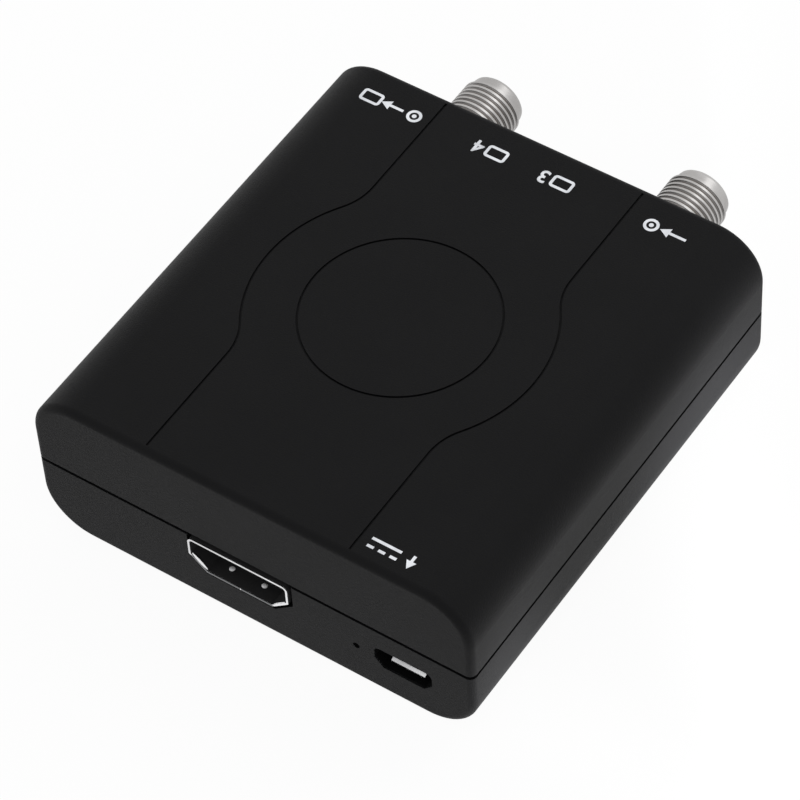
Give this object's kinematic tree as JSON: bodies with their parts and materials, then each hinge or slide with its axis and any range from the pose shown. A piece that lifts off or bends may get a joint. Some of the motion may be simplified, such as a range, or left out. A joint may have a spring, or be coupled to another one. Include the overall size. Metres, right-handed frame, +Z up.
{
  "type": "rf modulator",
  "caption": "Box-shaped RF modulator with a picture port and a power port in front, threaded coax sockets and a channel switch behind.",
  "frame": {"origin": "centre of the underside of the case", "axes": "+X to the right seen from the front, +Y from the front ports to the back sockets, +Z up"},
  "size_m": [0.065, 0.0809, 0.025],
  "materials": {
    "case_plastic": "fine spark texture",
    "port_metal": "tin plated, satin",
    "cast_metal": "nickel plated, satin",
    "screw_steel": "zinc plated",
    "port_plastic": "moulded, slightly shiny",
    "insulator_plastic": "moulded, waxy",
    "contact_gold": "gold flashed",
    "board_green": "solder mask",
    "chip_black": "moulded epoxy",
    "lamp_lens": "clear, diffused",
    "base_laminate": "phenolic laminate",
    "can_aluminium": "drawn can",
    "ferrite": "sintered",
    "ceramic": "ceramic"
  },
  "bodies": {
    "case": {"top_shell": "case_plastic", "bottom_shell": "case_plastic", "case_screws": "screw_steel", "circuit_board": "board_green", "video_port_shell": "port_metal", "video_port_tongue": "port_plastic", "video_port_contacts": "contact_gold", "power_port_shell": "port_metal", "power_port_tongue": "port_plastic", "power_port_contacts": "contact_gold", "led_lamp": "lamp_lens", "rf_out_barrel": "cast_metal", "rf_out_insulator": "insulator_plastic", "rf_out_contact": "contact_gold", "rf_in_barrel": "cast_metal", "rf_in_insulator": "insulator_plastic", "rf_in_contact": "contact_gold", "switch_frame": "port_metal", "switch_base": "base_laminate", "switch_terminals": "contact_gold", "shield_frame": "port_metal", "shield_lid": "port_metal", "modulator_chip": "chip_black", "modulator_crystal": "can_aluminium", "video_chip": "chip_black", "memory_chip": "chip_black", "voltage_regulator": "chip_black", "chip_leads": "port_metal", "clock_crystal": "can_aluminium", "power_inductor": "ferrite", "power_capacitors": "can_aluminium", "chip_parts": "ceramic"},
    "channel_knob": {"switch_knob": "port_plastic", "switch_wiper": "contact_gold"}
  },
  "joints": [
    {"name": "channel_slide", "type": "slide", "parent": "case", "child": "channel_knob", "axis": [-1, 0, 0], "range_m": [0, 0.002]}
  ]
}
